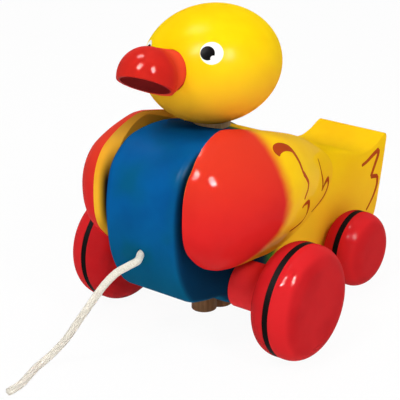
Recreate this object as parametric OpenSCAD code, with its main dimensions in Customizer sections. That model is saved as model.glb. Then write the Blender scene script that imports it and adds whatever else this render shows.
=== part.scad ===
// Wooden pull-along duck on four wheels, in millimetres.
// +X points forward, +Y to the duck's left, +Z up, and the wheels stand on z = 0.

/* [Body] */
// Width of the central block
body_w = 41; // [36:0.5:48]
// Distance from the front axle forward to the chest
chest_x = 48; // [44:0.1:54]
// Distance from the front axle back to the tip of the tail
tail_x = 130.5; // [122:0.5:140]
// Height of the chest's top above the floor
chest_top = 101.5; // [97:0.5:106]
// Height of the belly above the floor
belly_z = 8.5; // [7:0.5:12]
// Rounding of the block's long edges
edge_r = 4; // [2:0.5:6]
// Rounding of the tail's edges
tail_edge_r = 0.8; // [0.4:0.1:1.2]

/* [Wings] */
// Height of the wing's top above the floor
wing_top = 106.4; // [103:0.1:110]
// Gap between the wing's lower edge and the spacer
wing_gap = 2; // [1:0.1:4]
// Distance from the front axle forward to the wing's front
wing_front = 49; // [46:0.5:54]
// Distance from the front axle back to the wing's rear
wing_back = 77; // [70:0.5:90]
// Depth of the bevel under the rim at the front
wing_bevel = 4; // [1:0.2:5]
// Width of the bevel under the rim at the front
bevel_w = 5.6; // [2:0.2:6]
// Greatest bulge of the dome beyond the rim
wing_bulge = 28; // [20:0.5:30]
// Thickness of the rim
wing_lip = 0.8; // [0.6:0.1:2]
// Radius of the dowels through the block
wing_dowel_r = 4; // [3:0.5:5]

/* [Head] */
// Greatest radius of the turned head
head_r = 31.5; // [28:0.5:34]
// Half height of the turned head
head_h = 26.5; // [25:0.5:30]
// How far the head's underside lies below the chest's top
head_sink = 0.7; // [0:0.1:3]
// Distance from the front axle back to the neck
neck_x = 5; // [2:0.5:8]
// Forward nod of the head, in degrees
head_nod = 5; // [0:0.5:8]
// Sideways tilt of the head, in degrees
head_tilt = 8; // [0:0.5:10]
// Radius of the neck dowel
neck_r = 5; // [4:0.5:6]
// Radius of the washer under the head
washer_r = 8.5; // [7:0.5:10]
// Thickness of the washer
washer_h = 2.6; // [2:0.1:4]

/* [Beak] */
// Radius of the round beak
beak_r = 13.1; // [12:0.1:15]
// Distance from the head's centre forward to the beak's centre
beak_out = 43.9; // [41:0.1:46]
// Height of the beak's centre above the head's centre
beak_up = 7.8; // [6:0.1:9]
// Height of the beak's seat above the head's centre
seat_up = 5.9; // [4:0.1:7]
// Radius of the beak where it sits in the head
beak_base_r = 8.3; // [6.5:0.1:9]
// Distance from the beak's centre to the plane of the mouth
mouth_drop = 3.8; // [2:0.1:5]
// Slant of the open mouth below the horizontal, in degrees
mouth_slant = 53; // [48:1:58]
// Wall left around the hollow of the mouth
mouth_wall = 1.6; // [1.2:0.1:3]
// Radius of the dowel that holds the beak
beak_dowel_r = 4; // [3:0.5:5]

/* [Wheels] */
// Distance between the axles
wheelbase = 82; // [76:1:90]
// Radius of a front wheel
front_r = 27; // [24:0.5:30]
// Width of a front wheel
front_w = 23.7; // [20:0.1:26]
// Rounding of a front wheel's rims, as a share of its radius
front_soft = 0.344; // [0.2:0.01:0.36]
// Radius of a rear wheel
rear_r = 19; // [17:0.5:22]
// Width of a rear wheel
rear_w = 22; // [20:0.1:26]
// Play between a rear wheel and the block
rear_play = 1.2; // [1:0.1:3]
// Rounding of a rear wheel's rims, as a share of its radius
rear_soft = 0.485; // [0.3:0.01:0.49]
// Radius of the spacers beside the block
spacer_r = 11.3; // [9:0.1:12]
// Length of the spacers beside the block
spacer_l = 19.5; // [18:0.1:24]
// Radius of the axles
axle_r = 3; // [2.5:0.1:3.5]
// Width of the rubber rings
ring_w = 3; // [2:0.1:4]
// Thickness of the rubber rings
ring_t = 1.2; // [0.8:0.1:2]

/* [Pegs] */
// Radius of the pegs under the belly
peg_r = 6; // [4:0.5:7]
// Height of the front peg's lower end above the floor
peg_low = 8.5; // [6:0.5:10]
// Length of the front peg
peg_l = 13; // [12:0.5:16]
// Distance from the front axle forward to the front peg
peg_x = 0.8; // [0:0.1:3]
// Distance between the pegs
peg_gap = 12.2; // [12.2:0.1:16]

/* [Cord] */
// Diameter of the pull cord
cord_d = 3.6; // [2.5:0.1:4.5]
// Height of the cord's hole above the floor
cord_z = 52.5; // [48:0.5:54]
// Depth of the cord's hole behind the chest
cord_deep = 12; // [8:0.5:16]

/* [Hidden] */
$fn = 96;
// Radial overlap of pressed dowels and axles
press = 0.05;
// Radial clearance of turning pins
run = 0.05;
// Clearance between parts that only sit together
fit = 0.3;
// Play beside parts that turn past the block
play = 1;
// Overrun of a cut past the face it starts from
over = 1;
half_w = body_w / 2;
front_in = half_w + play + spacer_l;
rear_in = half_w + rear_play;
head_z = chest_top + head_h - head_sink;

// Colours
yellow = [0.98, 0.82, 0.08];
red = [0.9, 0.15, 0.15];
wheel_red = [0.84, 0.12, 0.14];
black = [0.06, 0.05, 0.05];
beech = [0.78, 0.6, 0.38];
brown = [0.62, 0.43, 0.26];
cotton = [0.93, 0.9, 0.83];

// Head axes after the tilt and the nod, and the mouth's normal in them
head_p = [-neck_x, 0, head_z];
head_turn = [head_tilt, head_nod, 0];
mouth_n = [cos(mouth_slant), 0, -sin(mouth_slant)];
function turned_x(v) = v.x * cos(head_nod)
    + (v.y * sin(head_tilt) + v.z * cos(head_tilt)) * sin(head_nod);
beak_tip_x = -neck_x + turned_x([beak_out, 0, beak_up] + mouth_drop * mouth_n)
    + sqrt(beak_r * beak_r - mouth_drop * mouth_drop) * sqrt(1 - pow(turned_x(mouth_n), 2));
// Shift that puts the origin midway between the tail and the beak
shift_x = (tail_x - beak_tip_x) / 2;

// Depths of seats and dowels
beak_seat = head_r - 5;
beak_axis = [beak_out - beak_seat, beak_up - seat_up];
beak_neck_h = 0.65 * norm(beak_axis);
beak_neck_r = beak_r - 1.4;
beak_pin_in = 16;
beak_pin_out = norm(beak_axis) - beak_r - mouth_wall;
neck_flat = 0.6;
neck_seat = head_z - head_h + neck_flat;
washer_z = neck_seat - washer_h;
neck_pin_deep = 26;
neck_low = chest_top - neck_pin_deep;
neck_top = head_z - head_h / 3;
wing_pin_deep = 7;
wing_pins = [[22, 75], [-24, 66]];
axle_short = 7;
cord_x0 = chest_x - 1.4 - cord_deep;
rear_ring_in = 0.7;
peg_step = 2;
pegs = [[peg_x, peg_low], [peg_x - peg_gap, peg_low - peg_step]];
peg_top = peg_low + peg_l;

// Point on a smooth curve between b and c
function mid(a, b, c, d, t) = 0.5 * (2 * b + (c - a) * t
    + (2 * a - 5 * b + 4 * c - d) * t * t + (3 * b - a - 3 * c + d) * t * t * t);
// Closed smooth curve through points p, with n steps between neighbours
function loop(p, n) = let (m = len(p)) [for (i = [0 : m - 1], k = [0 : n - 1])
    mid(p[(i + m - 1) % m], p[i], p[(i + 1) % m], p[(i + 2) % m], k / n)];
// Open smooth curve through points p, with n steps between neighbours
function run_through(p, n) = let (m = len(p)) concat(
    [for (i = [0 : m - 2], k = [0 : n - 1])
        mid(p[max(i - 1, 0)], p[i], p[i + 1], p[min(i + 2, m - 1)], k / n)],
    [p[m - 1]]);
function unit(v) = v / norm(v);
// Straight step from 0 at a to 1 at b
function step(a, b, x) = min(max((x - a) / (b - a), 0), 1);
// Direction inwards at each point of an anticlockwise curve
function inwards(p) = let (m = len(p)) [for (i = [0 : m - 1])
    let (t = unit(p[(i + 1) % m] - p[(i + m - 1) % m])) [-t.y, t.x]];
function turn_back(v) = [for (i = [len(v) - 1 : -1 : 0]) v[i]];
function turn_faces(f) = [for (t = f) turn_back(t)];
// Side faces between rings of m points, as triangles
function band(rings, m) = [for (k = [0 : rings - 2], i = [0 : m - 1], h = [0, 1])
    let (a = k * m + i, b = k * m + (i + 1) % m)
    h == 0 ? [a, b, a + m] : [b, b + m, a + m]];
function ring_ids(k, m) = [for (i = [0 : m - 1]) k * m + i];
// Triangles that fill ring k of m points, all from the ring's first point
function fan(k, m) = [for (i = [1 : m - 2]) [k * m, k * m + i, k * m + i + 1]];

// Side outline of the block, anticlockwise from under the tail, where the whole outline is in
// sight. Its points are shares of the length, from the tail to the chest, and of the height,
// from the belly to the top.
body_shares = [
    [0.042, 0.188], [0.064, 0.106], [0.098, 0.048], [0.137, 0.011], [0.199, 0], [0.339, 0],
    [0.462, 0.027], [0.607, 0.075], [0.686, 0.083], [0.753, 0.091], [0.809, 0.161],
    [0.87, 0.188], [0.931, 0.227], [0.965, 0.312], [0.989, 0.425], [0.999, 0.554], [1, 0.694],
    [0.984, 0.844], [0.948, 0.932], [0.886, 0.99], [0.775, 0.992], [0.663, 0.941],
    [0.506, 0.839], [0.361, 0.726], [0.271, 0.661], [0.182, 0.59], [0.115, 0.56],
    [0.064, 0.571], [0.035, 0.592], [0.019, 0.603], [0.008, 0.605], [0.002, 0.597],
    [0, 0.574], [0.005, 0.52], [0.012, 0.446], [0.025, 0.328]];
body_line = loop([for (q = body_shares)
    [q.x * (tail_x + chest_x) - tail_x, belly_z + q.y * (chest_top - belly_z)]], 4);
// Rounding of the block's edges: full at the chest, less at the tail
function edge_at(x) = tail_edge_r
    + (edge_r - tail_edge_r) * step(-0.9 * tail_x, -0.5 * tail_x, x);

// Side outline of a wing's rim, anticlockwise from the rear. Its points are shares of the
// length, from rear to front, and of the height, from just above the spacer to the top.
wing_low = front_r + spacer_r + wing_gap;
wing_shares = [
    [0, 0.285], [0.018, 0.185], [0.062, 0.105], [0.152, 0.04], [0.28, -0.012], [0.405, -0.036],
    [0.508, -0.031], [0.612, -0.005], [0.727, 0.02], [0.81, 0.05], [0.866, 0.092],
    [0.908, 0.145], [0.945, 0.21], [0.98, 0.295], [0.997, 0.398], [1, 0.531], [0.993, 0.66],
    [0.971, 0.768], [0.936, 0.85], [0.89, 0.918], [0.83, 0.972], [0.76, 1], [0.683, 0.972],
    [0.556, 0.907], [0.438, 0.832], [0.278, 0.713], [0.11, 0.53], [0.025, 0.4]];
function wing_at(q) = [q.x * (wing_front + wing_back) - wing_back,
    wing_low + q.y * (wing_top - wing_low)];
wing_line = loop([for (q = wing_shares) wing_at(q)], 3);
wing_mid = wing_at([0.56, 0.45]);
// Shares of the wing's length and height at a point of the side view
function wing_share(p) = [(p.x + wing_back) / (wing_front + wing_back),
    (p.y - wing_low) / (wing_top - wing_low)];
// Bulge of the dome at a point of the side view: full at the front, less at the rear,
// the bottom and the top
function bulge(p) = let (q = wing_share(p), t = step(-0.03, 0.74, q.x))
    wing_lip + (wing_bulge - wing_lip) * t * (2 - t) * (1 - thin_low * pow(step(0.6, 0, q.y), 2))
        * (1 - thin_top * pow(step(0.5, 1, q.y), 2));
// Share of the bevel at a point of the outline: full at the front, little along the top
function bevel_at(p) = let (q = wing_share(p))
    min(step(0.16, 0.54, q.x), 1 - step(0.84, 1.06, q.y));
thin_low = 0.5;
thin_top = 0.4;
rim_seat = 0.4;
dome_steps = 10;
dome_turn = 84;

// Points the cord passes, from the end of its hole to its bare end
cord_pts = [
    [cord_x0, 0, cord_z], [cord_x0 + 6, 0, cord_z], [chest_x - 1.8, 0, cord_z],
    [51, 1.6, 50.9], [54.7, -0.8, 49], [58, -4.8, 45.8], [62.3, -8.2, 40.6], [65.6, -11.8, 33.7],
    [68.7, -16.8, 24.7], [71.2, -22.2, 15.2], [73, -26, 9.6], [75.6, -29.2, 5.2],
    [79.5, -31, 2.4], [84.5, -30.5, cord_d / 2], [90.5, -28.4, cord_d / 2],
    [99.2, -25.5, cord_d / 2], [107, -25, cord_d / 2]];
cord_steps = 4;
cord_sides = 8;

// Part in its colour and in its place along the duck
module finished(shade) {
    color(shade)
        translate([shift_x, 0, 0])
            children();
}

module on_right() {
    mirror([0, 1, 0])
        children();
}

module in_head() {
    translate(head_p)
        rotate(head_turn)
            children();
}

// Part built along +Z, turned to run from y along +Y
module sideways(x, y, z) {
    translate([x, y, z])
        rotate([-90, 0, 0])
            children();
}

// Pin along Y, from y = -l to y = l
module cross_pin(x, z, r, l) {
    sideways(x, -l, z)
        cylinder(r = r, h = 2 * l);
}

module upright(x, z0, z1, r) {
    translate([x, 0, z0])
        cylinder(r = r, h = z1 - z0);
}

// Block with the side outline and rounded edges
module rounded_block(line, w) {
    m = len(line);
    dirs = inwards(line);
    turns = [for (a = [90 : -22.5 : 0]) a];
    levels = concat([for (a = turns) [-1, a]], [for (a = turn_back(turns)) [1, a]]);
    pts = [for (l = levels, i = [0 : m - 1])
        let (c = edge_at(line[i].x), q = line[i] + c * (1 - cos(l[1])) * dirs[i])
            [q.x, l[0] * (w - c + c * sin(l[1])), q.y]];
    polyhedron(points = pts, faces = concat(band(len(levels), m),
        turn_faces(fan(0, m)), fan(len(levels) - 1, m)), convexity = 6);
}

module cord_hole() {
    translate([cord_x0, 0, cord_z])
        rotate([0, 90, 0])
            cylinder(r = cord_d / 2 + fit, h = 2 * cord_deep);
}

module body() {
    finished(yellow)
        difference() {
            rounded_block(body_line, half_w);
            cross_pin(0, front_r, axle_r + run, half_w + over);
            cross_pin(-wheelbase, rear_r, axle_r + run, half_w + over);
            upright(-neck_x, neck_low, washer_z + over, neck_r - press);
            upright(-neck_x, washer_z, head_z, washer_r + fit);
            cord_hole();
            for (p = wing_pins)
                cross_pin(p.x, p.y, wing_dowel_r - press, half_w + over);
            for (p = pegs)
                upright(p.x, 0, peg_top, peg_r - press);
        }
}

// Domed wing on the left side, flat against the block
module wing_shape() {
    m = len(wing_line);
    foot = [for (p = wing_line)
        p + (rim_seat + bevel_w * bevel_at(p)) * unit(wing_mid - p)];
    dome = [for (k = [0 : dome_steps], p = wing_line) let (a = k * dome_turn / dome_steps,
            q = wing_mid + (p - wing_mid) * cos(a))
        [q.x, half_w + rim_seat + wing_bevel * bevel_at(p) * cos(a) + bulge(q) * sin(a), q.y]];
    top = [wing_mid.x, half_w + rim_seat + bulge(wing_mid), wing_mid.y];
    rings = dome_steps + 2;
    last = (rings - 1) * m;
    polyhedron(points = concat([for (p = foot) [p.x, half_w, p.y]], dome, [top]),
        faces = concat(band(rings, m), [turn_back(ring_ids(0, m))],
            [for (i = [0 : m - 1]) [last + i, last + (i + 1) % m, last + m]]), convexity = 4);
}

module wing() {
    difference() {
        wing_shape();
        for (p = wing_pins)
            cross_pin(p.x, p.y, wing_dowel_r - press, half_w + wing_pin_deep);
    }
}

module left_wing() {
    finished(red)
        wing();
}

module right_wing() {
    finished(red)
        on_right()
            wing();
}

module wing_dowels() {
    finished(beech)
        for (p = wing_pins)
            cross_pin(p.x, p.y, wing_dowel_r, half_w + wing_pin_deep);
}

module belly_pegs() {
    finished(brown)
        for (p = pegs)
            upright(p.x, p.y, peg_top, peg_r);
}

module neck_dowel() {
    finished(beech)
        upright(-neck_x, neck_low, neck_top, neck_r);
}

module neck_washer() {
    finished(beech)
        difference() {
            upright(-neck_x, washer_z, neck_seat, washer_r);
            upright(-neck_x, washer_z - over, neck_seat + over, neck_r - press);
        }
}

// Part built along +Z, turned to run along the beak from its seat in the head
module along_beak() {
    translate([beak_seat, 0, seat_up])
        rotate([0, 90 - atan2(beak_axis.y, beak_axis.x), 0])
            children();
}

// Cone between the head and the round beak, grown by extra
module beak_neck(extra) {
    along_beak()
        translate([0, 0, -extra])
            cylinder(r1 = beak_base_r + extra, r2 = beak_neck_r + extra, h = beak_neck_h + extra);
}

module beak_pin(r) {
    along_beak()
        translate([0, 0, -beak_pin_in])
            cylinder(r = r, h = beak_pin_in + beak_pin_out);
}

module head() {
    finished(yellow)
        difference() {
            in_head()
                rotate_extrude()
                    polygon([for (a = [-90 : 4.5 : 90]) [head_r * cos(a), head_h * sin(a)]]);
            upright(-neck_x, neck_seat - head_h, neck_seat, head_h);
            upright(-neck_x, neck_seat - over, neck_top + fit, neck_r + run);
            in_head() {
                beak_neck(fit);
                beak_pin(beak_dowel_r - press);
            }
        }
}

module beak() {
    finished(red)
        in_head()
            difference() {
                union() {
                    translate([beak_out, 0, beak_up])
                        sphere(r = beak_r);
                    beak_neck(0);
                }
                translate([beak_out, 0, beak_up]) {
                    sphere(r = beak_r - mouth_wall);
                    translate(mouth_drop * mouth_n)
                        rotate([0, 90 + mouth_slant, 0])
                            cylinder(r = 3 * beak_r, h = 3 * beak_r);
                }
                beak_pin(beak_dowel_r - press);
            }
}

module beak_dowel() {
    finished(beech)
        in_head()
            beak_pin(beak_dowel_r);
}

// Wheel from z = 0 (inner face) to z = w, with rounded rims and a groove for its ring
module wheel(r, w, soft, groove) {
    difference() {
        rotate_extrude() {
            square([r - soft, w]);
            translate([0, soft])
                square([r, w - 2 * soft]);
            for (z = [soft, w - soft])
                translate([r - soft, z])
                    circle(r = soft);
        }
        translate([0, 0, groove - ring_w / 2])
            difference() {
                cylinder(r = r + over, h = ring_w);
                translate([0, 0, -over])
                    cylinder(r = r - ring_t - fit, h = ring_w + 2 * over);
            }
        translate([0, 0, -over])
            cylinder(r = axle_r - press, h = w - axle_short + over);
    }
}

// Ring that sits just below a wheel's rim
module ring(r, groove) {
    translate([0, 0, groove - ring_w / 2])
        rotate_extrude()
            translate([r - ring_t, 0])
                square([ring_t - press, ring_w]);
}

module spacer() {
    difference() {
        cylinder(r = spacer_r, h = spacer_l);
        translate([0, 0, -over])
            cylinder(r = axle_r - press, h = front_in);
    }
}

module front_wheel() {
    sideways(0, front_in, front_r)
        wheel(front_r, front_w, front_soft * front_r, front_w / 2);
}

module rear_wheel() {
    sideways(-wheelbase, rear_in, rear_r)
        wheel(rear_r, rear_w, rear_soft * rear_r, rear_w / 2 - rear_ring_in);
}

module front_ring() {
    sideways(0, front_in, front_r)
        ring(front_r, front_w / 2);
}

module rear_ring() {
    sideways(-wheelbase, rear_in, rear_r)
        ring(rear_r, rear_w / 2 - rear_ring_in);
}

module front_spacer() {
    sideways(0, half_w + play, front_r)
        spacer();
}

module front_wheel_left() {
    finished(wheel_red)
        front_wheel();
}

module front_wheel_right() {
    finished(wheel_red)
        on_right()
            front_wheel();
}

module rear_wheel_left() {
    finished(wheel_red)
        rear_wheel();
}

module rear_wheel_right() {
    finished(wheel_red)
        on_right()
            rear_wheel();
}

module front_ring_left() {
    finished(black)
        front_ring();
}

module front_ring_right() {
    finished(black)
        on_right()
            front_ring();
}

module rear_ring_left() {
    finished(black)
        rear_ring();
}

module rear_ring_right() {
    finished(black)
        on_right()
            rear_ring();
}

module front_spacer_left() {
    finished(wheel_red)
        front_spacer();
}

module front_spacer_right() {
    finished(wheel_red)
        on_right()
            front_spacer();
}

module front_axle() {
    finished(beech)
        cross_pin(0, front_r, axle_r, front_in + front_w - axle_short);
}

module rear_axle() {
    finished(beech)
        cross_pin(-wheelbase, rear_r, axle_r, rear_in + rear_w - axle_short);
}

// Round cord swept along its points
module pull_cord() {
    path = run_through(cord_pts, cord_steps);
    m = len(path);
    rings = [for (i = [0 : m - 1])
        let (t = unit(path[min(i + 1, m - 1)] - path[max(i - 1, 0)]),
            s = unit(cross([0, 0, 1], t)), u = cross(t, s))
        for (k = [0 : cord_sides - 1]) let (a = (k + 0.5) * 360 / cord_sides)
            path[i] + cord_d / 2 * (cos(a) * s + sin(a) * u)];
    finished(cotton)
        polyhedron(points = rings, faces = concat(turn_faces(band(m, cord_sides)),
            [ring_ids(0, cord_sides), turn_back(ring_ids(m - 1, cord_sides))]), convexity = 8);
}

body();
left_wing();
right_wing();
wing_dowels();
belly_pegs();
neck_dowel();
neck_washer();
head();
beak();
beak_dowel();
front_wheel_left();
front_wheel_right();
rear_wheel_left();
rear_wheel_right();
front_ring_left();
front_ring_right();
rear_ring_left();
rear_ring_right();
front_spacer_left();
front_spacer_right();
front_axle();
rear_axle();
pull_cord();
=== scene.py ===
# %% [markdown]
# # A painted wooden duck on wheels
# This lesson dresses the CAD model of a pull-along duck. The CAD parts are the frame: every piece is in metres,
# with +X forward to the beak, +Y to the duck's left and +Z up. Blender adds the paint, the smooth skins, the
# feather strokes and the cotton cord, and never moves a CAD part.

# %% Load the frame
import math
import bmesh
import bpy
from mathutils import Matrix, Vector
from mathutils.bvhtree import BVHTree


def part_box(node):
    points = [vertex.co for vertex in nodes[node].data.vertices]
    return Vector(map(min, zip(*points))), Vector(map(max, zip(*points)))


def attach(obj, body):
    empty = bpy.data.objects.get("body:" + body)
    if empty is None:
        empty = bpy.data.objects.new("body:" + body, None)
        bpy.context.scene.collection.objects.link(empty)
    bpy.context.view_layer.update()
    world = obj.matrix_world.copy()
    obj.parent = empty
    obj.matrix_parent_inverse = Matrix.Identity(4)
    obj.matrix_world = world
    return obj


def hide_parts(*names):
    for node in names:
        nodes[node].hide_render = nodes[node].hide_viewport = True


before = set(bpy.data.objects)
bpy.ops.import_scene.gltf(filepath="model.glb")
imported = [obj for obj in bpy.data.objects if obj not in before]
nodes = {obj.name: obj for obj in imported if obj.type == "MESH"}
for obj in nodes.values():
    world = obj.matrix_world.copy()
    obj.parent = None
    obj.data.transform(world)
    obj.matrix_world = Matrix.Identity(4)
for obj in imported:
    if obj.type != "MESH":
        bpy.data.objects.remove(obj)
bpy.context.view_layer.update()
MM = 0.001
scene = bpy.context.scene

# %% [markdown]
# ## Reference points
# Most measurements on this duck were taken from the front axle, so one helper turns millimetres from the axle
# into the frame's metres. The axle's place comes from the frame, not from a copied number.

# %% Reference points
axle_low, axle_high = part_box("front_axle")
axle_x = (axle_low.x + axle_high.x) / 2


def at(x, y, z):
    """Point x, y, z millimetres from the floor under the front axle, in metres."""
    return Vector((axle_x + x * MM, y * MM, z * MM))


print("front axle at x =", round(axle_x, 4))

# %% [markdown]
# ## Camera
# The picture was taken from the duck's front left with a long lens. A camera is a place, a point it looks at, a
# focal length and a small shift of the sensor. A long lens far away keeps the wheels nearly round.

# %% Camera
IMAGE_PX = 400
FOCAL_PX = 1358.3
SHIFT_PX = 3.2
SENSOR_MM = 36.0
CAMERA_AT = at(464.1, 352.5, 295.9)
LOOK_AT = at(4.0, 0.0, 62.7)
camera_data = bpy.data.cameras.new("photo_camera")
camera_data.sensor_width = SENSOR_MM
camera_data.lens = FOCAL_PX * SENSOR_MM / IMAGE_PX
camera_data.shift_y = SHIFT_PX / IMAGE_PX
camera_data.clip_start = 0.01
camera = bpy.data.objects.new("photo_camera", camera_data)
scene.collection.objects.link(camera)
camera.location = CAMERA_AT
camera.rotation_euler = (LOOK_AT - CAMERA_AT).to_track_quat("-Z", "Y").to_euler()
scene.camera = camera
print("camera", [round(v, 3) for v in CAMERA_AT], "lens", round(camera_data.lens, 1))

# %% [markdown]
# ## Shader arithmetic
# Shader maths reads best as plain arithmetic. A small class wraps a node's output socket, so that `1 - mask` or
# `a * b` adds the Math nodes. Every other node comes from one method that takes its type, settings and sockets.


# %% Shader arithmetic
class Value:
    """A number or vector that flows between shader nodes."""

    def __init__(self, finish, socket):
        self.finish = finish
        self.socket = socket

    def math(self, operation, *others):
        """One Math node, with this value as its first input."""
        values = {i: v for i, v in enumerate((self, *others))}
        return self.finish.node("ShaderNodeMath", {"operation": operation}, values)

    def __add__(self, other):
        return self.math("ADD", other)

    def __sub__(self, other):
        return self.math("SUBTRACT", other)

    def __rsub__(self, other):
        return self.finish.node("ShaderNodeMath", {"operation": "SUBTRACT"}, {0: other, 1: self})

    def __mul__(self, other):
        return self.math("MULTIPLY", other)

    __radd__ = __add__
    __rmul__ = __mul__

    def step(self, low, high, below=0.0, above=1.0):
        """0 below low, 1 above high, and a smooth rise between them."""
        sockets = {"Value": self, "From Min": low, "From Max": high, "To Min": below, "To Max": above}
        return self.finish.node("ShaderNodeMapRange", {"interpolation_type": "SMOOTHSTEP"}, sockets)

    def fall(self, low, high):
        """1 below low, 0 above high, and a smooth fall between them."""
        return self.step(low, high, 1.0, 0.0)


class Finish:
    """A material in the making, with helpers for its nodes."""

    def __init__(self, name, **constants):
        self.material = bpy.data.materials.new(name)
        self.material.use_nodes = True
        self.tree = self.material.node_tree
        self.shader = self.tree.nodes["Principled BSDF"]
        for socket, value in constants.items():
            self.shader.inputs[socket.replace("_", " ")].default_value = value
        self.place = self.node("ShaderNodeTexCoord", output="Object")

    def node(self, kind, settings=None, sockets=None, output=0):
        """A new node with its settings and sockets, as the value of one of its outputs."""
        made = self.tree.nodes.new(kind)
        for key, value in (settings or {}).items():
            setattr(made, key, value)
        for key, value in (sockets or {}).items():
            self.feed(made.inputs[key], value)
        return Value(self, made.outputs[output])

    def feed(self, socket, value):
        """Links a value to a socket, or sets a constant on it."""
        if isinstance(value, Value):
            self.tree.links.new(value.socket, socket)
        else:
            socket.default_value = value

    def set(self, socket, value):
        """Feeds one of the shader's own sockets."""
        self.feed(self.shader.inputs[socket], value)

    def noise(self, scale, detail, vector=None, rough=0.5):
        """Soft noise from 0 to 1, in object coordinates unless a vector is given."""
        sockets = {"Vector": vector or self.place, "Scale": scale, "Detail": detail, "Roughness": rough}
        return self.node("ShaderNodeTexNoise", None, sockets)

    def stretched(self, stretch):
        """Object coordinates scaled along each axis, for a grain that runs one way."""
        return self.node("ShaderNodeMapping", None, {"Vector": self.place, "Scale": stretch})

    def axes(self):
        """The x, y and z of the object coordinates, in metres."""
        split = self.tree.nodes.new("ShaderNodeSeparateXYZ")
        self.tree.links.new(self.place.socket, split.inputs[0])
        return [Value(self, out) for out in split.outputs]

    def mix(self, amount, first, second):
        """The first colour where the amount is 0, the second where it is 1."""
        mixer = self.tree.nodes.new("ShaderNodeMix")
        mixer.data_type = "RGBA"
        for key, value in ((0, amount), (6, first), (7, second)):
            self.feed(mixer.inputs[key], value)
        return Value(self, mixer.outputs[2])

    def bump(self, height, distance):
        """Fine relief, as high as the distance in metres."""
        sockets = {"Height": height, "Distance": distance, "Strength": 1.0}
        self.set("Normal", self.node("ShaderNodeBump", None, sockets))


def colour(red, green, blue):
    """An sRGB colour from 0 to 255 as the linear colour that sockets take."""
    def linear(c):
        c = c / 255
        return c / 12.92 if c <= 0.04045 else ((c + 0.055) / 1.055) ** 2.4
    return (linear(red), linear(green), linear(blue), 1.0)


print("shader helpers", Value.__name__, Finish.__name__)

# %% [markdown]
# ## The pull cord
# The cord leaves its hole in the chest, droops under its own weight and ends on the floor, cut bare. A hanging cord
# has no corners, so the route is a smooth curve through a few chosen points.

# %% The pull cord
CORD_D = 0.0036
CORD_STEP = 0.0003
CORD_POINTS = [at(*p) for p in (
    (34.6, 0, 52.5), (40.6, 0, 52.5), (46.2, 0, 52.5), (51, 1.6, 50.9), (54.7, -0.8, 49),
    (58, -4.8, 45.8), (62.3, -8.2, 40.6), (65.6, -11.8, 33.7), (68.7, -16.8, 24.7),
    (71.2, -22.2, 15.2), (73, -26, 9.6), (75.6, -29.2, 5.2), (79.5, -31, 2.4), (84.5, -30.5, 1.8),
    (90.5, -28.4, 1.8), (99.2, -25.5, 1.8), (107, -25, 1.8))]


def smooth_path(points, spacing):
    """A smooth curve through the points, in steps of about the spacing."""
    path = []
    for i in range(len(points) - 1):
        before, start = points[max(i - 1, 0)], points[i]
        stop, after = points[i + 1], points[min(i + 2, len(points) - 1)]
        steps = max(2, round((stop - start).length / spacing))
        for t in (k / steps for k in range(steps)):
            path.append(0.5 * (2 * start + (stop - before) * t
                               + (2 * before - 5 * start + 4 * stop - after) * t ** 2
                               + (3 * start - before - 3 * stop + after) * t ** 3))
    path.append(points[-1].copy())
    return path


cord_path = smooth_path(CORD_POINTS, CORD_STEP)
cord_length = sum((b - a).length for a, b in zip(cord_path[:-1], cord_path[1:]))
print("cord length", round(cord_length, 4))

# %% [markdown]
# ## Cotton yarn
# Cotton is dull and a little hairy. Its fibres run along the cord, so their noise is stretched along the cord's own
# UV map, and a soft sheen stands for the fine hairs. Handling leaves slightly darker stretches.

# %% Cotton yarn
COTTON = colour(246, 242, 232)
COTTON_DEEP = colour(208, 198, 176)
COTTON_SOILED = colour(212, 200, 176)
FIBRES = (70, 18, 1)
FIBRE_RELIEF = 0.00015


def cotton():
    """Pale cotton with fibres along the cord and soiled stretches."""
    yarn = Finish("cotton_cord", Sheen_Weight=0.3, Sheen_Roughness=0.5, Specular_IOR_Level=0.1)
    unrolled = yarn.node("ShaderNodeUVMap", {"uv_map": "cord"})
    drawn_out = yarn.node("ShaderNodeMapping", None, {"Vector": unrolled, "Scale": FIBRES})
    fibre = yarn.noise(1.0, 3.0, drawn_out)
    soil = yarn.noise(90.0, 2.0)
    pale = yarn.mix(fibre.step(0.3, 0.7), COTTON_DEEP, COTTON)
    yarn.set("Base Color", yarn.mix(soil.step(0.55, 0.8) * 0.25, pale, COTTON_SOILED))
    yarn.set("Roughness", 0.8 + 0.15 * fibre)
    yarn.bump(fibre, FIBRE_RELIEF)
    return yarn.material


cotton_yarn = cotton()
print("yarn", cotton_yarn.name)

# %% [markdown]
# ## The braid
# In a braid the yarns wind both ways and cross, so the surface is a net of small soft diamonds. Two waves that wind
# round the cord in opposite directions add up to that net, and they move the rings of a tube in and out.

# %% The braid
YARNS = 6
BRAID_LAY = 0.005
BRAID_DEPTH = 0.05
CORD_SIDES = 36


def cord_rings(path):
    """Rings of points along the path, with the braid's relief, and the distance along the cord."""
    rings, gone, side = [], 0.0, Vector((0, 1, 0))
    for i, point in enumerate(path):
        ahead = (path[min(i + 1, len(path) - 1)] - path[max(i - 1, 0)]).normalized()
        side = (side - ahead * side.dot(ahead)).normalized()
        up = ahead.cross(side)
        gone += (point - path[max(i - 1, 0)]).length
        turn = math.tau * gone / BRAID_LAY
        ring = []
        for a in (math.tau * k / CORD_SIDES for k in range(CORD_SIDES)):
            relief = (math.cos(YARNS * a + turn) + math.cos(YARNS * a - turn)) / 2
            radius = CORD_D / 2 * (1 - BRAID_DEPTH + BRAID_DEPTH * relief)
            ring.append(point + radius * (math.cos(a) * side + math.sin(a) * up))
        rings.append((ring, gone))
    return rings


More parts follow.
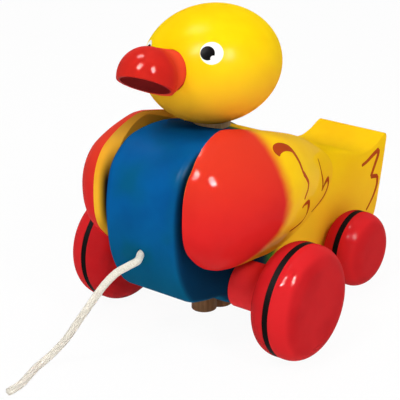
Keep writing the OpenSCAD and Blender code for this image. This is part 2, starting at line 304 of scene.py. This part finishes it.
def tube(shape, rings):
    """Adds a closed tube to a bmesh, with a UV map that unrolls it."""
    unrolled = shape.loops.layers.uv.new("cord")
    made = [([shape.verts.new(p) for p in ring], gone / (math.pi * CORD_D)) for ring, gone in rings]
    count = len(made[0][0])
    for (a, low), (b, high) in zip(made[:-1], made[1:]):
        for k in range(count):
            n = (k + 1) % count
            face = shape.faces.new((a[k], a[n], b[n], b[k]))
            places = ((k, low), (k + 1, low), (k + 1, high), (k, high))
            for corner, (u, v) in zip(face.loops, places):
                corner[unrolled].uv = (u / count, v)
    shape.faces.new(list(reversed(made[0][0])))
    shape.faces.new(made[-1][0])


def finish_piece(name, shape, material, body):
    """Turns a bmesh into a smooth, finished piece that rides on a body."""
    bmesh.ops.recalc_face_normals(shape, faces=shape.faces)
    for face in shape.faces:
        face.smooth = True
    mesh = bpy.data.meshes.new(name)
    shape.to_mesh(mesh)
    shape.free()
    mesh.materials.append(material)
    piece = bpy.data.objects.new(name, mesh)
    scene.collection.objects.link(piece)
    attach(piece, body)
    return piece


cord_shape = bmesh.new()
tube(cord_shape, cord_rings(cord_path))
cord_piece = finish_piece("cotton_cord", cord_shape, cotton_yarn, "duck")
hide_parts("pull_cord")
print("cord faces", len(cord_piece.data.polygons))

# %% [markdown]
# ## Gloss paint on wood
# Toy paint is sprayed in thin coats. The wood's grain telegraphs through as faint long ripples, the surface has a
# fine orange peel, and the colour is a little deeper where the coat is thicker. A clear coat over a matt colour gives
# the small bright reflections of the lamps, and it is a little stronger where the paint is thicker. One function
# makes that paint and hands back a mask of its thicker places. On a wheel the rounded rim between the ring and the
# flat outer face is painted a lighter red, painted light against the face, which is in shade. The spacers are
# painted a lighter red than the wheels, painted light that lifts them out of the wing's shadow.

# %% Gloss paint on wood
LEMON = colour(253, 214, 12)
LEMON_DEEP = colour(250, 203, 9)
GOLD = colour(254, 207, 12)
GOLD_DEEP = colour(250, 195, 11)
# A warmer, paler yellow for the lower parts of the block and wings, painted bounce light and shade.
GOLD_PAINTED_BOUNCE = colour(254, 194, 42)
RED = colour(220, 38, 37)
RED_DEEP = colour(213, 32, 33)
RED_TOP = colour(222, 58, 36)
BEAK_RED = colour(208, 40, 30)
CRIMSON = colour(200, 33, 37)
CRIMSON_DEEP = colour(188, 26, 31)
# A lighter red for the wheels' rounded outer rim, painted light.
RIM_PAINTED_LIGHT = colour(214, 36, 40)
BLUE = colour(8, 92, 158)
BLUE_DEEP = colour(6, 80, 140)
# The spacers' red is lighter than the wheels', painted light that lifts them out of the wing's shadow.
SPACER_PAINTED_LIGHT = colour(246, 52, 55)
SPACER_PAINTED_LIGHT_DEEP = colour(238, 46, 50)
STROKE = colour(186, 68, 20)
STROKE_DEEP = colour(166, 54, 15)
GRAIN_X = (60.0, 600.0, 600.0)
GRAIN_Y = (500.0, 60.0, 500.0)
GRAIN_Z = (500.0, 500.0, 60.0)
RIPPLE = 0.00003
RIM_LIGHT_IN, RIM_LIGHT_OUT = 0.0034, 0.0010


def gloss(name, grain, shine=0.06, coat=0.07):
    """A paint with a clear coat, grain and orange peel, and the mask of its thicker places."""
    paint = Finish(name, Coat_IOR=1.4, Coat_Roughness=shine, Specular_IOR_Level=0.0)
    wood = paint.noise(1.0, 4.0, paint.stretched(grain), 0.6)
    peel = paint.noise(900.0, 1.0)
    thick = paint.noise(38.0, 3.0)
    paint.set("Roughness", 0.3 + 0.12 * thick + 0.06 * wood)
    paint.set("Coat Weight", coat + 0.5 * coat * thick)
    paint.bump(wood * 0.7 + peel * 0.3, RIPPLE)
    return paint, thick.step(0.35, 0.7)


def golden_with_painted_bounce(paint, thick, z, heights):
    """The yellow of the block and the wings, turning warmer and paler from one height down to another as painted
    bounce light and shade.
    """
    return paint.mix(z.fall(*heights), paint.mix(thick, GOLD, GOLD_DEEP), GOLD_PAINTED_BOUNCE)


def plain_paint(name, light, deep, grain):
    """A gloss paint of one colour."""
    paint, thick = gloss(name, grain)
    paint.set("Base Color", paint.mix(thick, light, deep))
    return paint.material


def wheel_red_with_painted_light(end):
    """Crimson with a lighter rounded rim between the ring and the flat outer face, as painted light."""
    paint, thick = gloss(f"{end}_wheel_gloss", GRAIN_Y)
    aside = paint.axes()[1].math("ABSOLUTE")
    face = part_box(f"{end}_wheel_left")[1].y
    ring_low, ring_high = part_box(f"{end}_ring_left")
    # Painted light: the rounded outer rim is lighter than the flat face, which is in shade.
    rim = aside.step(ring_low.y, ring_high.y) * aside.fall(face - RIM_LIGHT_IN, face - RIM_LIGHT_OUT)
    paint.set("Base Color", paint.mix(rim, paint.mix(thick, CRIMSON, CRIMSON_DEEP), RIM_PAINTED_LIGHT))
    return paint.material


wheel_paints = {end: wheel_red_with_painted_light(end) for end in ("front", "rear")}
spacer_paint = plain_paint("spacer_gloss", SPACER_PAINTED_LIGHT, SPACER_PAINTED_LIGHT_DEEP, GRAIN_Y)
stroke_paint = plain_paint("stroke_paint", STROKE, STROKE_DEEP, GRAIN_X)
print("paints", [p.name for p in (*wheel_paints.values(), spacer_paint, stroke_paint)])

# %% [markdown]
# ## The blue chest
# The block is yellow all over, and its chest is sprayed blue. Spray has a soft edge, and where a thin blue mist lies
# on yellow it looks green. Two steps along X give that: yellow to green, then green to blue. Towards the belly the
# mist reaches further back. The blue is thinner and greener low down and in soft patches. On the block's flat sides
# the blue darkens to navy as painted shade, the shadow under the wings and in the gap against them. Low down the
# yellow turns warmer and paler as painted bounce light and shade.

# %% The blue chest
BLUE_FROM = axle_x - 0.019
BLUE_TO = axle_x - 0.004
BLUE_LOW = colour(8, 88, 122)
# Navy for the block's flat sides, painted shade.
BLUE_PAINTED_SHADE = colour(8, 32, 62)
GREEN_MIST = colour(78, 134, 44)
MIST, BELLY_MIST = 0.006, 0.010
BELLY = (0.034, 0.058)
THIN_BLUE = (0.03, 0.08)
# Heights over which the block's yellow turns to its painted bounce light and shade.
BODY_PAINTED_BOUNCE = (0.025, 0.078)
BLOCK_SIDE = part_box("body")[1].y
SIDE_SHADE_BAND = (BLOCK_SIDE - 0.0022, BLOCK_SIDE - 0.0002)


def chest_paint():
    """Yellow that passes through a green mist into the blue chest."""
    paint, thick = gloss("body_gloss", GRAIN_X, shine=0.3, coat=0.02)
    x, y, z = paint.axes()
    edge = x + MIST * paint.noise(60.0, 2.0) + BELLY_MIST * z.fall(*BELLY)
    yellow = golden_with_painted_bounce(paint, thick, z, BODY_PAINTED_BOUNCE)
    patches = paint.noise(34.0, 2.0).step(0.45, 0.7)
    thin = (z.fall(*THIN_BLUE) + 0.8 * patches).math("MINIMUM", 1.0)
    front = paint.mix(thin, paint.mix(thick, BLUE, BLUE_DEEP), BLUE_LOW)
    # Painted shade: the block's flat sides darken to navy, the shadow under the wings and in the gap against them.
    side = y.math("ABSOLUTE").step(*SIDE_SHADE_BAND)
    blue = paint.mix(0.8 * side, front, BLUE_PAINTED_SHADE)
    middle = (BLUE_FROM + BLUE_TO) / 2
    misty = paint.mix(edge.step(BLUE_FROM, middle), yellow, GREEN_MIST)
    paint.set("Base Color", paint.mix(edge.step(middle, BLUE_TO), misty, blue))
    return paint.material


body_paint = chest_paint()
print("body paint", body_paint.name)

# %% [markdown]
# ## The airbrushed wings
# Each wing is red in front and fades to yellow towards the tail. Seen from the side the red ends in a nearly upright
# line that leans back at the top and forward at the bottom. Two soft steps, one along X and one along a slanted
# line, are multiplied for that. The red is warmer at the top, and low down the yellow turns warmer and paler as
# painted bounce light and shade. The bevel under the rim is a deeper yellow as painted shade of that recess; near
# the head it browns as a painted shadow of the head, and along its edge against the block, where the wing is glued
# to it, it is near black as painted shade in the crevice.

# %% The airbrushed wings
RED_EDGE = axle_x + 0.0018
LEAN_FROM, LEAN = 0.083, 0.12
SLANT_X, SLANT_Z = 0.806, 0.591
SLANT_EDGE = SLANT_X * axle_x + 0.0379
RED_SOFT = 0.0057
RAGGED = 0.003
RED_WARMTH = (0.065, 0.105)
# Heights over which the wings' yellow turns to its painted bounce light and shade.
WING_PAINTED_BOUNCE = (0.045, 0.098)
# The bevel's deeper yellow is painted shade for the recess under the rim.
OCHRE_PAINTED_SHADE = colour(250, 188, 48)
OCHRE_PAINTED_SHADE_DEEP = colour(238, 170, 40)
# Brown near the head is a painted shadow of the head; the near black is painted shade in the crevice against the
# block.
HEAD_PAINTED_SHADOW = colour(140, 98, 44)
CREVICE_PAINTED_SHADE = colour(22, 20, 18)
HEAD_SHADOW_HEIGHTS = (0.092, 0.106)
CREVICE_SHADE_TOP = (0.08, 0.1)
CREVICE_SHADE_BAND = (BLOCK_SIDE + 0.0010, BLOCK_SIDE + 0.0036)


def wing_spray():
    """Red that fades to yellow towards the tail."""
    paint, thick = gloss("wing_gloss", GRAIN_X)
    x, _, z = paint.axes()
    ragged = RAGGED * (paint.noise(120.0, 2.0) - 0.5)
    upright = x + LEAN * (z - LEAN_FROM).math("MAXIMUM", 0.0) + ragged
    slanted = SLANT_X * x + SLANT_Z * z + ragged
    spray = (upright.step(RED_EDGE - RED_SOFT, RED_EDGE + RED_SOFT)
             * slanted.step(SLANT_EDGE - RED_SOFT, SLANT_EDGE + RED_SOFT))
    yellow = golden_with_painted_bounce(paint, thick, z, WING_PAINTED_BOUNCE)
    red = paint.mix(z.step(*RED_WARMTH), paint.mix(thick, RED, RED_DEEP), RED_TOP)
    paint.set("Base Color", paint.mix(spray, yellow, red))
    return paint.material


def bevel_with_painted_shade():
    """Deeper yellow as painted shade, browned as a painted shadow of the head near the top, and near black as painted
    shade in the crevice against the block.
    """
    paint, thick = gloss("bevel_gloss", GRAIN_X, shine=0.3, coat=0.02)
    _, y, z = paint.axes()
    shade_ochre = paint.mix(thick, OCHRE_PAINTED_SHADE, OCHRE_PAINTED_SHADE_DEEP)
    head_shadowed = paint.mix(0.6 * z.step(*HEAD_SHADOW_HEIGHTS), shade_ochre, HEAD_PAINTED_SHADOW)
    # Painted shade in the crevice against the block, low on the wing.
    inner = y.math("ABSOLUTE").fall(*CREVICE_SHADE_BAND) * z.fall(*CREVICE_SHADE_TOP)
    paint.set("Base Color", paint.mix(inner, head_shadowed, CREVICE_PAINTED_SHADE))
    return paint.material


wing_paint = wing_spray()
bevel_paint = bevel_with_painted_shade()
print("wing paints", wing_paint.name, bevel_paint.name)

# %% [markdown]
# ## The head and its painted eyes
# The head is a turned ball that leans a little forward and to one side. Its own axes are worked out here, so that
# both eyes are one drawing: the sideways distance is used without its sign, which mirrors the eye. Each eye is a
# white spot with a black pupil, and a small round nick is left out of the pupil. Low down the yellow turns warmer
# and deeper as painted shade.

# %% The head and its painted eyes
HEAD_CENTRE = at(-5.0, 0.0, 127.3)
HEAD_NOD = math.radians(5.0)
HEAD_TILT = math.radians(8.0)
head_turn = Matrix.Rotation(HEAD_NOD, 3, "Y") @ Matrix.Rotation(HEAD_TILT, 3, "X")
EYE_AHEAD, EYE_ASIDE, EYE_UP = 0.0221, 0.0167, 0.0118
EYE_R, PUPIL_R, NICK_R = 0.0050, 0.0032, 0.0013
WHITE_SHIFT = (-0.0013, 0.0013, -0.0002)
PUPIL_SHIFT = (-0.0003, -0.0001, 0.0)
NICK_SHIFT = (0.0, 0.0028, -0.0020)
EYE_EDGE = 0.00012
EYE_WHITE = colour(250, 250, 246)
EYE_BLACK = colour(12, 10, 10)
# A warmer, deeper yellow for the lower head, painted shade.
LEMON_PAINTED_SHADE = colour(244, 162, 52)
HEAD_SHADE_HEIGHTS = (-0.026, 0.016)


def eye_paint():
    """The head's yellow, with painted shade low down, and both eyes."""
    paint, thick = gloss("head_gloss", GRAIN_Z, shine=0.25, coat=0.025)
    offset = paint.node("ShaderNodeVectorMath", {"operation": "SUBTRACT"},
                        {0: paint.place, 1: HEAD_CENTRE})

    def along(axis):
        return paint.node("ShaderNodeVectorMath", {"operation": "DOT_PRODUCT"},
                          {0: offset, 1: axis}, output="Value")

    ahead = along(head_turn.col[0])
    aside = along(head_turn.col[1]).math("ABSOLUTE")
    up = along(head_turn.col[2])

    def spot(shift, radius):
        """1 inside a ball that is shifted from the eye's place, 0 outside it."""
        a = ahead - (EYE_AHEAD + shift[0])
        s = aside - (EYE_ASIDE + shift[1])
        u = up - (EYE_UP + shift[2])
        return (a * a + s * s + u * u).math("SQRT").fall(radius - EYE_EDGE, radius + EYE_EDGE)

    white = spot(WHITE_SHIFT, EYE_R)
    pupil = spot(PUPIL_SHIFT, PUPIL_R) * (1 - spot(NICK_SHIFT, NICK_R))
    lemon = paint.mix(thick, LEMON, LEMON_DEEP)
    # Painted shade: the lower head turns to a warmer, deeper yellow.
    yellow = paint.mix(0.85 * up.fall(*HEAD_SHADE_HEIGHTS), lemon, LEMON_PAINTED_SHADE)
    eye = paint.mix(white, yellow, EYE_WHITE)
    paint.set("Base Color", paint.mix(pupil, eye, EYE_BLACK))
    return paint.material


head_paint = eye_paint()
print("head paint", head_paint.name)

# %% [markdown]
# ## The hollow beak
# The beak is turned from one ball and hollowed, and little light reaches into it. Everything nearer to the ball's
# centre than the outer wall takes a maroon, painted shade for the hollow. Where the beak meets the yellow head the
# red is lighter and more orange, a painted reflection of the head.

# %% The hollow beak
BEAK_CENTRE = HEAD_CENTRE + head_turn @ Vector((0.0439, 0.0, 0.0078))
BEAK_DEEP = colour(196, 34, 26)
# A lighter, more orange red near the head, a painted reflection of the yellow head.
BEAK_PAINTED_REFLECTION = colour(240, 76, 48)
# Maroon for the hollow, painted shade.
BEAK_HOLLOW_SHADE = colour(158, 44, 44)
HOLLOW_R, HOLLOW_EDGE = 0.0117, 0.0006
HEAD_REFLECTION_REACH = (0.033, 0.046)


def beak_with_painted_light():
    """Red with a painted reflection of the head near it, and maroon painted shade inside the hollow."""
    paint, thick = gloss("beak_gloss", GRAIN_Y)

    def reach(point):
        return paint.node("ShaderNodeVectorMath", {"operation": "DISTANCE"},
                          {0: paint.place, 1: point}, output="Value")

    red = paint.mix(thick, BEAK_RED, BEAK_DEEP)
    # Painted reflection of the yellow head on the red near it.
    head_reflection = paint.mix(reach(HEAD_CENTRE).fall(*HEAD_REFLECTION_REACH), red, BEAK_PAINTED_REFLECTION)
    # Painted shade: the hollow is maroon.
    inside = reach(BEAK_CENTRE).fall(HOLLOW_R, HOLLOW_R + HOLLOW_EDGE)
    paint.set("Base Color", paint.mix(inside, head_reflection, BEAK_HOLLOW_SHADE))
    return paint.material


beak_paint = beak_with_painted_light()
print("beak paint", beak_paint.name)

# %% [markdown]
# ## Bare wood and rubber
# The dowels and the washer are bare beech: long fine lines, a few darker flecks and a dull surface. The pegs are a
# browner wood. The rings are matt rubber, with a faint grain and a little dust.

# %% Bare wood and rubber
BEECH = colour(222, 190, 140)
BEECH_DARK = colour(196, 158, 106)
BROWN = colour(136, 96, 56)
BROWN_DARK = colour(104, 70, 38)
FLECK = colour(120, 84, 50)
WOOD_RELIEF = 0.00005
RUBBER = colour(6, 3, 3)
RUBBER_DUST = colour(17, 11, 10)
RUBBER_RELIEF = 0.00002


def bare_wood(name, light, dark, grain):
    """Unpainted wood with lines along the grain and a few flecks."""
    wood = Finish(name, Specular_IOR_Level=0.3)
    lines = wood.noise(1.0, 5.0, wood.stretched(grain), 0.65)
    flecks = wood.noise(1.0, 2.0, wood.stretched(tuple(3.0 * g for g in grain)))
    tone = wood.mix(lines.step(0.3, 0.72), light, dark)
    wood.set("Base Color", wood.mix(flecks.step(0.62, 0.7) * 0.5, tone, FLECK))
    wood.set("Roughness", 0.5 + 0.25 * lines)
    wood.bump(lines, WOOD_RELIEF)
    return wood.material


def ring_rubber():
    """Matt black rubber with dust in patches."""
    rubber = Finish("ring_rubber", Specular_IOR_Level=0.03)
    grain = rubber.noise(1500.0, 2.0)
    dust = rubber.noise(220.0, 3.0)
    rubber.set("Base Color", rubber.mix(dust.step(0.55, 0.8) * 0.4, RUBBER, RUBBER_DUST))
    rubber.set("Roughness", 0.5 + 0.2 * dust)
    rubber.bump(grain, RUBBER_RELIEF)
    return rubber.material


beech = bare_wood("bare_beech", BEECH, BEECH_DARK, GRAIN_Z)
axle_beech = bare_wood("axle_beech", BEECH, BEECH_DARK, GRAIN_Y)
brown_wood = bare_wood("brown_wood", BROWN, BROWN_DARK, GRAIN_Z)
rubber = ring_rubber()
print("bare finishes", [m.name for m in (beech, axle_beech, brown_wood, rubber)])

# %% [markdown]
# ## Finishes on the CAD parts
# The turned and drilled parts have the right shape already, so they only get a material in their slot.

# %% Finishes on the CAD parts
FINISHES = {
    "beak": beak_paint,
    "neck_dowel": beech,
    "neck_washer": beech,
    "beak_dowel": beech,
    "wing_dowels": axle_beech,
    "belly_pegs": brown_wood,
    "front_axle": axle_beech,
    "rear_axle": axle_beech,
}
for end in ("front", "rear"):
    for side in ("left", "right"):
        FINISHES[f"{end}_wheel_{side}"] = wheel_paints[end]
        FINISHES[f"{end}_ring_{side}"] = rubber
for side in ("left", "right"):
    FINISHES[f"front_spacer_{side}"] = spacer_paint
for name, finish in FINISHES.items():
    mesh = nodes[name].data
    mesh.materials.clear()
    mesh.materials.append(finish)
print("finished CAD parts:", len(FINISHES))

# %% [markdown]
# ## Smooth skins for the carved parts
# The block, the wings and the head are carved and sanded, so their faces run into each other without an edge. A
# copy of the CAD mesh is merged into one skin, shaded smooth where neighbouring faces differ little, and given
# normals that lean on the larger faces, so that flat sides stay flat. The skin replaces the CAD node. A wing's faces
# that look back at the block are its bevel, and they take the bevel's paint.

# %% Smooth skins for the carved parts
MERGE = 2e-6
CREASE = math.radians(32.0)
LARGE_FACES = 80
BEVEL_LOOK = -0.2


def skin(name, node, body, materials):
    """A merged, smooth copy of a CAD node that takes its place."""
    shape = bmesh.new()
    shape.from_mesh(nodes[node].data)
    bmesh.ops.remove_doubles(shape, verts=shape.verts, dist=MERGE)
    for face in shape.faces:
        face.smooth = True
    for edge in shape.edges:
        if len(edge.link_faces) == 2:
            edge.smooth = edge.calc_face_angle() < CREASE
    mesh = bpy.data.meshes.new(name)
    shape.to_mesh(mesh)
    shape.free()
    if "custom_normal" in mesh.attributes:
        mesh.attributes.remove(mesh.attributes["custom_normal"])
    for material in materials:
        mesh.materials.append(material)
    piece = bpy.data.objects.new(name, mesh)
    scene.collection.objects.link(piece)
    weighted = piece.modifiers.new("weighted", "WEIGHTED_NORMAL")
    weighted.keep_sharp = True
    weighted.weight = LARGE_FACES
    bpy.context.view_layer.update()
    evaluated = piece.evaluated_get(bpy.context.evaluated_depsgraph_get())
    final = bpy.data.meshes.new_from_object(evaluated)
    piece.modifiers.clear()
    piece.data = final
    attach(piece, body)
    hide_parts(node)
    return piece


body_skin = skin("body_skin", "body", "duck", [body_paint])
head_skin = skin("head_skin", "head", "head", [head_paint])
wing_skins = {}
for side, sign in (("left", 1), ("right", -1)):
    wing = skin(f"{side}_wing_skin", f"{side}_wing", "duck", [wing_paint, bevel_paint])
    for face in wing.data.polygons:
        face.material_index = int(face.normal.y * sign < BEVEL_LOOK)
    wing_skins[side] = wing
print("skins", [p.name for p in (body_skin, head_skin, *wing_skins.values())])

# %% [markdown]
# ## Feather strokes
# A brush has drawn a few feather lines on the wings and the tail. A stroke is a chain of runs that meet in sharp
# corners. A run is a line of points in the side view, x and z in millimetres from the front axle's place on the
# floor, and its width goes from the first to the second number.

# %% Feather strokes
STROKES = {
    "wing_feather_a": [
        (3.8, 1.9, [(-1.3, 93.2), (-3.4, 94.5), (-8.9, 94.2), (-14.1, 92.2), (-15.4, 89.9),
                    (-15.6, 86.6), (-15.2, 83.5), (-15.1, 81.6)]),
        (2.6, 1.4, [(-15.1, 82.0), (-17.5, 78.7), (-19.2, 75.6), (-17.9, 73.1), (-14.3, 69.7)])],
    "wing_feather_b": [
        (1.7, 2.6, [(-14.2, 65.5), (-17.1, 66.3), (-21.7, 65.8)]),
        (2.6, 1.2, [(-21.7, 65.8), (-27.0, 60.3), (-31.0, 54.5), (-28.0, 51.8), (-18.0, 53.5),
                    (-9.0, 55.0)])],
    "wing_feather_c": [
        (1.4, 2.9, [(-46.4, 76.9), (-46.2, 73.3), (-47.2, 69.0), (-52.0, 62.8), (-54.7, 58.0)]),
        (2.6, 3.1, [(-54.7, 58.0), (-59.7, 59.4), (-67.5, 59.1)]),
        (2.9, 1.4, [(-67.5, 59.1), (-69.6, 55.1), (-67.9, 52.1), (-63.4, 49.7), (-56.6, 48.8),
                    (-48.2, 48.5)])],
    "tail_feather": [
        (1.7, 2.9, [(-105.9, 53.4), (-110.8, 54.2), (-116.6, 56.1), (-122.5, 57.7)]),
        (2.6, 2.3, [(-122.5, 57.7), (-121.9, 54.3), (-119.2, 50), (-115.7, 44.4)]),
        (2.3, 2.3, [(-115.7, 44.4), (-118.8, 43.8), (-122.5, 42.9)]),
        (2.3, 1.1, [(-122.5, 42.9), (-122.4, 38.5), (-119.8, 33.6), (-116.1, 29.7), (-112.4, 26.6)])],
}
print("strokes on a side", {name: len(runs) for name, runs in STROKES.items()})

# %% [markdown]
# ## Films of paint
# Each run becomes a thin closed film. Every point is dropped sideways onto the wood, so that the film follows the
# dome. The ends of a run are rounded, and each run of a stroke lies a little higher than the one before it.

# %% Films of paint
FILM = 0.00008
RUN_LIFT = 0.3
FREE_END = 0.08
FAR_ASIDE = 0.2
ACROSS = (-1.0, -0.67, -0.33, 0.0, 0.33, 0.67, 1.0)
STROKE_STEP = 0.0005


def film(shape, run, wood, sign, lift):
    """Adds a closed film of paint to a bmesh, along a run dropped sideways onto the wood."""
    first, last, points = run
    line = smooth_path([at(x, 0, z) for x, z in points], STROKE_STEP)
    rows = []
    for i, point in enumerate(line):
        ahead = (line[min(i + 1, len(line) - 1)] - line[max(i - 1, 0)]).normalized()
        across = Vector((-ahead.z, 0, ahead.x))
        share = i / (len(line) - 1)
        width = (first + (last - first) * share) * MM
        to_end = (point - (line[0] if share < 0.5 else line[-1])).length
        rounding = min(to_end / width + FREE_END, 0.5)
        half = width * math.sqrt(rounding - rounding ** 2)
        row = []
        for offset in ACROSS:
            start = point + across * half * offset + Vector((0, sign * FAR_ASIDE, 0))
            hit, normal = wood.ray_cast(start, Vector((0, -sign, 0)))[:2]
            if hit is not None:
                top = lift if abs(offset) < 1 else 0.0
                row.append((shape.verts.new(hit + normal * top),
                            shape.verts.new(hit - normal * FILM)))
        if len(row) == len(ACROSS):
            rows.append(row)
    for a, b in zip(rows[:-1], rows[1:]):
        for k in range(len(ACROSS) - 1):
            shape.faces.new((a[k][0], a[k + 1][0], b[k + 1][0], b[k][0]))
            shape.faces.new((a[k + 1][1], a[k][1], b[k][1], b[k + 1][1]))
        shape.faces.new((a[0][1], a[0][0], b[0][0], b[0][1]))
        shape.faces.new((a[-1][0], a[-1][1], b[-1][1], b[-1][0]))
    for row in (rows[0], rows[-1]):
        for k in range(len(ACROSS) - 1):
            shape.faces.new((row[k][0], row[k + 1][0], row[k + 1][1], row[k][1]))


def surface_of(piece):
    """A tree of a piece's faces, to drop points onto."""
    verts = [v.co for v in piece.data.vertices]
    return BVHTree.FromPolygons(verts, [tuple(p.vertices) for p in piece.data.polygons])


for side, sign in (("left", 1), ("right", -1)):
    woods = {"wing": surface_of(wing_skins[side]), "tail": surface_of(body_skin)}
    for name, runs in STROKES.items():
        place = name.split("_")[0]
        shape = bmesh.new()
        for k, run in enumerate(runs):
            film(shape, run, woods[place], sign, FILM * (1 + RUN_LIFT * k))
        stroke = finish_piece(f"{name}_{side}", shape, stroke_paint, "duck")
        "wing_paint" if place == "wing" else "body_paint"
print("strokes", 2 * len(STROKES))

# %% [markdown]
# ## Floor and sky
# The duck stands on a plain pale floor that fills the picture, under an even white sky. To the camera and to
# reflections the sky is full white and the floor is mixed with plain white, both through Light Path, so that only a
# faint shadow is left, as in a catalogue picture. As light on the duck the sky is dimmer.

# %% Floor and sky
FLOOR_SIZE = 16.0
FLOOR_GREY = (0.88, 0.88, 0.88, 1)
FLOOR_PALE = (0.9, 0.9, 0.9, 1)
WHITE = (1, 1, 1, 1)
FLOOR_WHITE = 0.95
WORLD_LIGHT = 0.42
SEEN_BY = ("Is Camera Ray", "Is Glossy Ray", "Is Transmission Ray")


def pale_floor():
    """A matt floor that is nearly white to the camera and to reflections."""
    floor = Finish("pale_floor", Roughness=0.9, Specular_IOR_Level=0.1)
    speckle = floor.noise(30.0, 2.0)
    floor.set("Base Color", floor.mix(speckle.step(0.3, 0.7), FLOOR_GREY, FLOOR_PALE))
    white = floor.node("ShaderNodeEmission", None, {"Color": WHITE, "Strength": 1.0})
    rays = [floor.node("ShaderNodeLightPath", output=kind) for kind in SEEN_BY]
    seen = rays[0].math("MAXIMUM", rays[1]).math("MAXIMUM", rays[2])
    matt = Value(floor, floor.shader.outputs[0])
    both = floor.node("ShaderNodeMixShader", None, {0: seen * FLOOR_WHITE, 1: matt, 2: white})
    floor.tree.links.new(both.socket, floor.tree.nodes["Material Output"].inputs["Surface"])
    return floor.material


bpy.ops.mesh.primitive_plane_add(size=FLOOR_SIZE, location=(0, 0, 0))
floor = bpy.context.object
floor.name = "floor"
floor.data.materials.append(pale_floor())

world = bpy.data.worlds.new("studio")
scene.world = world
world.use_nodes = True
sky = world.node_tree
background = sky.nodes["Background"]
background.inputs["Color"].default_value = WHITE
rays = sky.nodes.new("ShaderNodeLightPath")
seen = rays.outputs[SEEN_BY[0]]
for kind in SEEN_BY[1:]:
    either = sky.nodes.new("ShaderNodeMath")
    either.operation = "MAXIMUM"
    sky.links.new(seen, either.inputs[0])
    sky.links.new(rays.outputs[kind], either.inputs[1])
    seen = either.outputs[0]
level = sky.nodes.new("ShaderNodeMapRange")
level.inputs["To Min"].default_value = WORLD_LIGHT
sky.links.new(seen, level.inputs["Value"])
sky.links.new(level.outputs["Result"], background.inputs["Strength"])
print("floor and sky", floor.name, world.name)

# %% [markdown]
# ## Lamps
# Two upright soft boxes hang in front of the duck, one on each side of the camera, and give the paired reflections
# on the paint. Wide dim boxes overhead and low in front soften the shadows. The lamps' mirror images are brighter
# than their diffuse light alone would make them, so two glints repeat the soft boxes for reflections only, and a
# third, dimmer one overhead gives the faint spots on the head and the tops of the wings. A row holds a name, two
# angles, the distance, the width and height, and the watts.

# %% Lamps
AIM = at(-20, 0, 70)
LAMPS = (
    ("key_box", -2, 52, 1.0, (0.14, 0.2), 3.6),
    ("fill_box", 66, 42, 1.0, (0.14, 0.2), 2.8),
    ("front_box", 40, 12, 1.3, (0.9, 0.6), 1.2),
    ("top_box", 200, 80, 1.2, (0.9, 0.9), 2.0),
)
GLINTS = (
    ("key_glint", -2, 52, 1.0, (0.2, 0.32), 54.0),
    ("fill_glint", 66, 42, 1.0, (0.2, 0.32), 54.0),
    ("top_glint", -80, 69, 1.0, (0.2, 0.32), 20.0),
)


def soft_box(name, azimuth, elevation, distance, size, watts):
    """A lamp that looks at the duck. Its azimuth goes from +X towards +Y, in degrees."""
    data = bpy.data.lights.new(name, "AREA")
    data.shape = "RECTANGLE"
    data.size, data.size_y = size
    data.energy = watts
    lamp = bpy.data.objects.new(name, data)
    scene.collection.objects.link(lamp)
    a, e = math.radians(azimuth), math.radians(elevation)
    away = Vector((math.cos(e) * math.cos(a), math.cos(e) * math.sin(a), math.sin(e)))
    lamp.location = AIM + away * distance
    lamp.rotation_euler = (-away).to_track_quat("-Z", "Y").to_euler()
    return lamp


for lamp in LAMPS:
    soft_box(*lamp)
for lamp in GLINTS:
    soft_box(*lamp).visible_diffuse = False
scene.view_settings.view_transform = "Standard"
